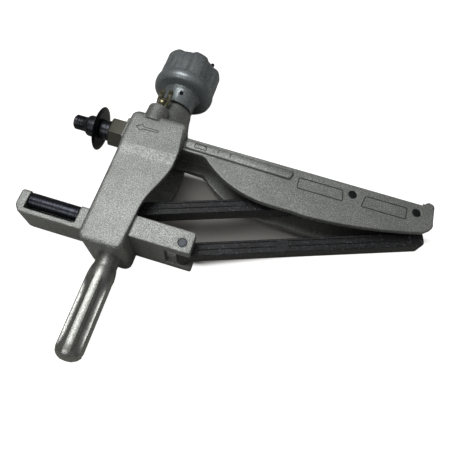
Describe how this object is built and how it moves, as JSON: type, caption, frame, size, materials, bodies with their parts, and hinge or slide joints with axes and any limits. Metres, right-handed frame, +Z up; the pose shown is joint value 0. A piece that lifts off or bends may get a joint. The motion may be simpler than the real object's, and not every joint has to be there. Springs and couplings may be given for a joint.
{
  "type": "internal pipe cutter",
  "caption": "Hand tool that cuts pipe from the inside: a wheel on a linkage arm is fed by a knob towards rollers on the pipe's outside.",
  "frame": {"origin": "point on the body casting's flat back, where the feed screw's axis crosses the line of the two lower link pivots", "axes": "+X runs along the arms, away from the cutter wheel; +Y runs from the handle to the feed knob; +Z is up from the table that the tool lies on"},
  "size_m": [0.405, 0.3624, 0.0743],
  "materials": {
    "cast_aluminium": "blasted sand-cast aluminium with a fine sparkle grain",
    "knob_aluminium": "blue-grey enamelled cast aluminium",
    "black_iron": "black-painted rough casting",
    "black_steel": "black-oxide hardened steel with an oily sheen",
    "housing_steel": "dull bead-blasted steel",
    "pin_steel": "dark ground steel",
    "bright_steel": "ground bright steel",
    "bronze": "turned bearing bronze",
    "yellow_zinc": "yellow-passivated zinc plate"
  },
  "bodies": {
    "frame_body": {"body_casting": "cast_aluminium", "handle": "cast_aluminium", "bracket": "cast_aluminium", "bracket_screw_1": "black_steel", "bracket_screw_2": "black_steel", "pivot_pin_rear": "pin_steel", "pivot_pin_front": "pin_steel", "roller_axle_lower": "bright_steel", "roller_axle_upper": "bright_steel", "bearing_bush": "bronze", "thrust_ring": "bronze"},
    "feed_knob": {"knob": "knob_aluminium", "hub_pin": "black_steel", "knob_peg": "black_steel", "feed_screw": "bright_steel"},
    "front_link": {"link_front": "black_iron"},
    "rear_link": {"link_rear": "black_iron"},
    "arm": {"cutter_arm": "cast_aluminium", "arm_pin_rear": "pin_steel", "arm_pin_front": "pin_steel", "spindle_housing": "housing_steel", "cutter_axle": "black_steel", "axle_collar": "black_steel", "wheel_sleeve": "black_steel"},
    "feed_nut": {"sleeve_nut": "bronze"},
    "wheel": {"cutter_wheel": "black_steel"},
    "lower_roller": {"roller_lower": "black_steel"},
    "upper_roller": {"roller_upper": "black_steel"},
    "clamp_bolt": {"wing_bolt": "yellow_zinc"}
  },
  "joints": [
    {"name": "feed_turn", "type": "hinge", "parent": "frame_body", "child": "feed_knob", "pos_m": [0, 0.1608, 0.035], "axis": [0, 1, 0], "range_deg": [0, 6840]},
    {"name": "front_link_swing", "type": "hinge", "parent": "frame_body", "child": "front_link", "pos_m": [0.0637, 0, 0.035], "axis": [0, 0, 1], "range_deg": [-19.05, 0.05]},
    {"name": "rear_link_swing", "type": "hinge", "parent": "frame_body", "child": "rear_link", "pos_m": [-0.0033, 0, 0.035], "axis": [0, 0, 1], "range_deg": [-19.05, 0.05]},
    {"name": "arm_pivot", "type": "hinge", "parent": "front_link", "child": "arm", "pos_m": [0.2794, 0.1052, 0.035], "axis": [0, 0, 1], "range_deg": [-0.05, 19.05]},
    {"name": "nut_feed", "type": "slide", "parent": "frame_body", "child": "feed_nut", "axis": [0, 1, 0], "range_m": [-0.0761, 0.0001]},
    {"name": "wheel_spin", "type": "hinge", "parent": "arm", "child": "wheel", "pos_m": [-0.0709, 0.1117, 0.035], "axis": [1, 0, 0], "continuous": true},
    {"name": "lower_roller_spin", "type": "hinge", "parent": "frame_body", "child": "lower_roller", "pos_m": [-0.07245, 0.0026, 0.023], "axis": [1, 0, 0], "continuous": true},
    {"name": "upper_roller_spin", "type": "hinge", "parent": "frame_body", "child": "upper_roller", "pos_m": [-0.07245, 0.0026, 0.047], "axis": [1, 0, 0], "continuous": true},
    {"name": "wing_turn", "type": "hinge", "parent": "frame_body", "child": "clamp_bolt", "pos_m": [-0.0095, 0.139, 0.062], "axis": [0, 1, 0], "range_deg": [0, 180]}
  ],
  "couplings": [
    {"joint": "front_link_swing", "follows": "feed_turn", "ratio": -0.0027778},
    {"joint": "rear_link_swing", "follows": "feed_turn", "ratio": -0.0027778},
    {"joint": "arm_pivot", "follows": "feed_turn", "ratio": 0.0027778},
    {"joint": "nut_feed", "follows": "feed_turn", "m_per_rad": -0.000636}
  ]
}
